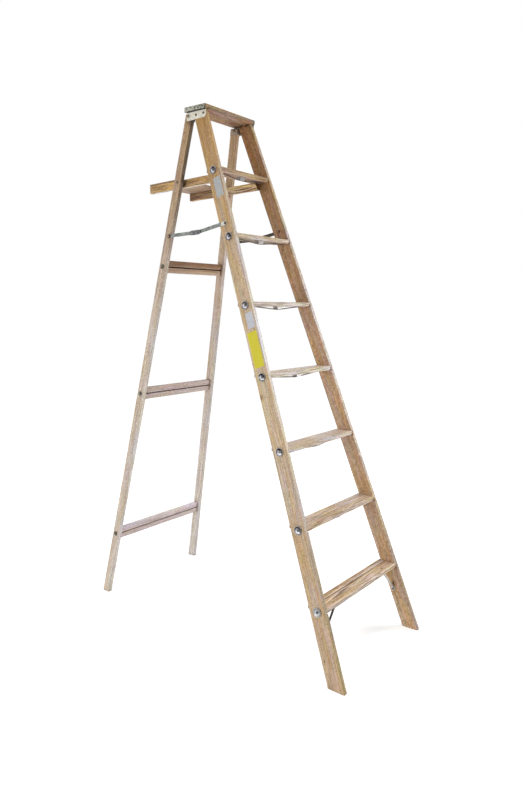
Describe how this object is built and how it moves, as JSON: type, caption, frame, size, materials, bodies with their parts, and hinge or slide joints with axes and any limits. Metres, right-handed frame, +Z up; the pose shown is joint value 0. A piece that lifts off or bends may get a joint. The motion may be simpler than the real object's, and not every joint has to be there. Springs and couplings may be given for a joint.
{
  "type": "wooden stepladder",
  "caption": "Folding wooden stepladder with flared side rails, rod-braced steps, hinged rear legs, jointed spreaders, a folding pail shelf and a flat top cap.",
  "frame": {"origin": "on the floor, midway between the four feet", "axes": "+X across the ladder from the left rail to the right rail as a climber faces the steps, +Y from the climbing side to the rear legs, +Z up"},
  "size_m": [0.612, 1.435, 2.2885],
  "materials": {
    "rail_wood": "dry, lightly weathered, unvarnished",
    "step_wood": "dry, lightly weathered, unvarnished",
    "cap_wood": "dry, lightly weathered, unvarnished",
    "leg_wood": "dry, lightly weathered, unvarnished",
    "rear_rail_wood": "dry, lightly weathered, unvarnished",
    "shelf_arm_wood": "dry, lightly weathered, unvarnished",
    "shelf_board_wood": "dry, lightly weathered, unvarnished",
    "rod_steel": "plain drawn steel, dulled",
    "block_steel": "bright zinc plate",
    "washer_steel": "zinc plate, dark in the dish",
    "bracket_steel": "galvanised sheet, dull",
    "ferrule_steel": "galvanised sheet, darkened",
    "rivet_steel": "zinc plate",
    "nail_steel": "plain steel",
    "spreader_steel": "galvanised strip, dull",
    "brace_steel": "galvanised rod, dull",
    "pale_sticker": "plain satin film, blank",
    "yellow_sticker": "plain satin film, blank"
  },
  "bodies": {
    "front_frame": {"left_side_rail": "rail_wood", "right_side_rail": "rail_wood", "step_1": "step_wood", "step_2": "step_wood", "step_3": "step_wood", "step_4": "step_wood", "step_5": "step_wood", "step_6": "step_wood", "step_7": "step_wood", "truss_rod_1": "rod_steel", "truss_rod_2": "rod_steel", "truss_rod_3": "rod_steel", "truss_rod_4": "rod_steel", "truss_rod_5": "rod_steel", "truss_rod_6": "rod_steel", "truss_rod_7": "rod_steel", "truss_blocks": "block_steel", "step_rod_washers": "washer_steel", "top_cap": "cap_wood", "left_hinge_bracket": "bracket_steel", "right_hinge_bracket": "bracket_steel", "bracket_rivets": "rivet_steel", "cap_nails": "nail_steel", "hinge_pivot_rivets": "rivet_steel", "left_step_brace": "brace_steel", "right_step_brace": "brace_steel", "brace_screws": "nail_steel", "spreader_front_rivets": "rivet_steel", "upper_sticker": "pale_sticker", "middle_sticker": "pale_sticker", "lower_sticker": "yellow_sticker"},
    "rear_frame": {"left_rear_leg": "leg_wood", "right_rear_leg": "leg_wood", "left_leg_ferrule": "ferrule_steel", "right_leg_ferrule": "ferrule_steel", "rear_rail_1": "rear_rail_wood", "rear_rail_2": "rear_rail_wood", "rear_rail_3": "rear_rail_wood", "rear_rod_1": "rod_steel", "rear_rod_2": "rod_steel", "rear_rod_3": "rod_steel", "rear_rod_washers": "washer_steel", "spreader_rear_rivets": "rivet_steel", "shelf_pivot_bolts": "rivet_steel"},
    "pail_shelf": {"left_shelf_arm": "shelf_arm_wood", "right_shelf_arm": "shelf_arm_wood", "shelf_board": "shelf_board_wood", "shelf_nails": "nail_steel"},
    "left_spreader_front": {"left_spreader_front_bar": "spreader_steel"},
    "left_spreader_rear": {"left_spreader_rear_bar": "spreader_steel", "left_spreader_lap_rivets": "rivet_steel"},
    "right_spreader_front": {"right_spreader_front_bar": "spreader_steel"},
    "right_spreader_rear": {"right_spreader_rear_bar": "spreader_steel", "right_spreader_lap_rivets": "rivet_steel"}
  },
  "joints": [
    {"name": "rear_fold", "type": "hinge", "parent": "front_frame", "child": "rear_frame", "pos_m": [0, 0.18514, 2.2485], "axis": [-1, 0, 0], "range_deg": [0, 30.5]},
    {"name": "left_spreader_front_turn", "type": "hinge", "parent": "front_frame", "child": "left_spreader_front", "pos_m": [-0.18997, -0.05686, 1.763], "axis": [0.9978, 0, -0.0657], "range_deg": [0, 87]},
    {"name": "left_spreader_rear_turn", "type": "hinge", "parent": "rear_frame", "child": "left_spreader_rear", "pos_m": [-0.19178, 0.29015, 1.7355], "axis": [-0.9978, 0, 0.0657], "range_deg": [0, 46.7]},
    {"name": "right_spreader_front_turn", "type": "hinge", "parent": "front_frame", "child": "right_spreader_front", "pos_m": [0.18997, -0.05686, 1.763], "axis": [0.9978, 0, 0.0657], "range_deg": [0, 87]},
    {"name": "right_spreader_rear_turn", "type": "hinge", "parent": "rear_frame", "child": "right_spreader_rear", "pos_m": [0.19178, 0.29015, 1.7355], "axis": [-0.9978, 0, -0.0657], "range_deg": [0, 46.7]},
    {"name": "shelf_turn", "type": "hinge", "parent": "rear_frame", "child": "pail_shelf", "pos_m": [0, 0.24821, 1.9709], "axis": [1, 0, 0], "range_deg": [0, 102.9]}
  ],
  "couplings": [
    {"joint": "left_spreader_front_turn", "follows": "rear_fold", "ratio": 2.8517},
    {"joint": "left_spreader_rear_turn", "follows": "rear_fold", "ratio": 1.5279},
    {"joint": "right_spreader_front_turn", "follows": "rear_fold", "ratio": 2.8517},
    {"joint": "right_spreader_rear_turn", "follows": "rear_fold", "ratio": 1.5279},
    {"joint": "shelf_turn", "follows": "rear_fold", "ratio": 3.3705}
  ]
}
